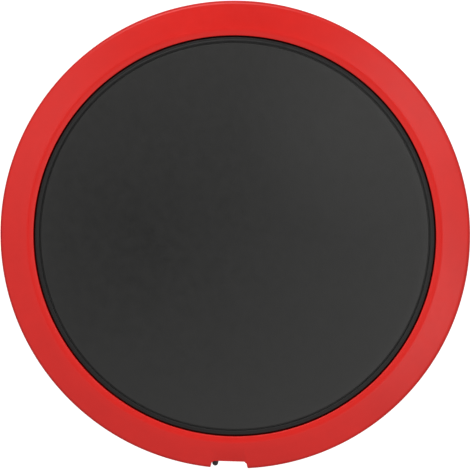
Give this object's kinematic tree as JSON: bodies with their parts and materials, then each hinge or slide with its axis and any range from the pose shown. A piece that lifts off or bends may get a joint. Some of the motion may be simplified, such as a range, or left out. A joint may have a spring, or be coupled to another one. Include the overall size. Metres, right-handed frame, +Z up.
{
  "type": "electronic drum pad",
  "caption": "Round electronic drum pad: a rubber playing head in a plastic rim with a notch, over a housing with a piezo sensor, an output jack and a rod clamp.",
  "frame": {"origin": "centre of the pad's footprint, on the surface that the four feet stand on", "axes": "+Z up out of the playing head, -Y towards the rim's notch and the output jack, +Y towards the rack rod"},
  "size_m": [0.23, 0.2296, 0.05],
  "materials": {
    "rim_plastic": "satin moulded ABS, saturated red",
    "housing_plastic": "fine spark-textured ABS, black",
    "head_rubber": "matt moulded rubber, dark grey",
    "plate_steel": "zinc-plated sheet steel",
    "foam": "open-cell foam, dark grey",
    "foam_tape": "white foam tape",
    "brass": "rolled brass",
    "piezo_ceramic": "silvered ceramic",
    "solder": "bright solder",
    "lead_red": "PVC insulation, red",
    "lead_black": "PVC insulation, black",
    "lead_yellow": "PVC insulation, yellow",
    "board_laminate": "green solder resist over laminate",
    "connector_nylon": "natural nylon",
    "capacitor_sleeve": "shrink sleeve, dark blue",
    "resistor_lacquer": "lacquered resistor bodies",
    "zinc_screw": "zinc plated",
    "black_screw": "black oxide",
    "jack_nylon": "moulded nylon, black",
    "nickel": "nickel plated",
    "contact_metal": "tinned phosphor bronze",
    "clamp_nylon": "glass-filled nylon, black",
    "shoe_nylon": "nylon, dark grey",
    "handle_nylon": "moulded nylon, black",
    "foot_rubber": "moulded rubber, black"
  },
  "bodies": {
    "base": {"rim_bezel": "rim_plastic", "bottom_housing": "housing_plastic", "base_plate": "housing_plastic", "base_plate_screws": "black_screw", "clamp_recess": "housing_plastic", "jack_panel": "housing_plastic", "cord_hook": "housing_plastic", "foam_ring": "foam", "piezo_lead_red": "lead_red", "piezo_lead_black": "lead_black", "trigger_board": "board_laminate", "board_connector": "connector_nylon", "board_capacitor": "capacitor_sleeve", "board_resistors": "resistor_lacquer", "board_screws": "zinc_screw", "jack_lead_tip": "lead_yellow", "jack_lead_sleeve": "lead_black", "jack_body": "jack_nylon", "jack_ferrule": "nickel", "jack_washer": "nickel", "jack_nut": "nickel", "jack_tip_lug": "contact_metal", "jack_sleeve_contact": "contact_metal", "clamp_block": "clamp_nylon", "clamp_block_screws": "zinc_screw", "clamp_nut": "zinc_screw", "bezel_screws": "black_screw", "foot_1": "foot_rubber", "foot_2": "foot_rubber", "foot_3": "foot_rubber", "foot_4": "foot_rubber"},
    "head": {"rubber_head": "head_rubber", "striker_plate": "plate_steel", "piezo_foam_tape": "foam_tape", "piezo_brass_disc": "brass", "piezo_ceramic_disc": "piezo_ceramic", "piezo_solder_dots": "solder"},
    "clamp_shoe": {"clamp_shoe": "shoe_nylon"},
    "wing_bolt": {"wing_bolt_stud": "zinc_screw", "wing_bolt_handle": "handle_nylon"},
    "tip_spring": {"jack_tip_spring": "contact_metal"}
  },
  "joints": [
    {"name": "head_press", "type": "slide", "parent": "base", "child": "head", "axis": [0, 0, -1], "range_m": [0, 0.001], "stiffness_N_per_m": 20000, "springref_m": -0.0005, "deforming": ["foam_ring", "piezo_lead_red", "piezo_lead_black"]},
    {"name": "shoe_slide", "type": "slide", "parent": "base", "child": "clamp_shoe", "axis": [-1, 0, 0], "range_m": [0, 0.00151]},
    {"name": "wing_bolt_turn", "type": "hinge", "parent": "clamp_shoe", "child": "wing_bolt", "pos_m": [0.02, 0.02, 0.017], "axis": [-1, 0, 0], "range_deg": [0, 540]},
    {"name": "tip_spring_flex", "type": "hinge", "parent": "base", "child": "tip_spring", "pos_m": [0, -0.0803, 0.03525], "axis": [-1, 0, 0], "range_deg": [0, 6], "stiffness_Nm_per_rad": 0.002, "springref_deg": -5.73}
  ],
  "couplings": [
    {"joint": "shoe_slide", "follows": "wing_bolt_turn", "m_per_rad": 0.00015915}
  ]
}
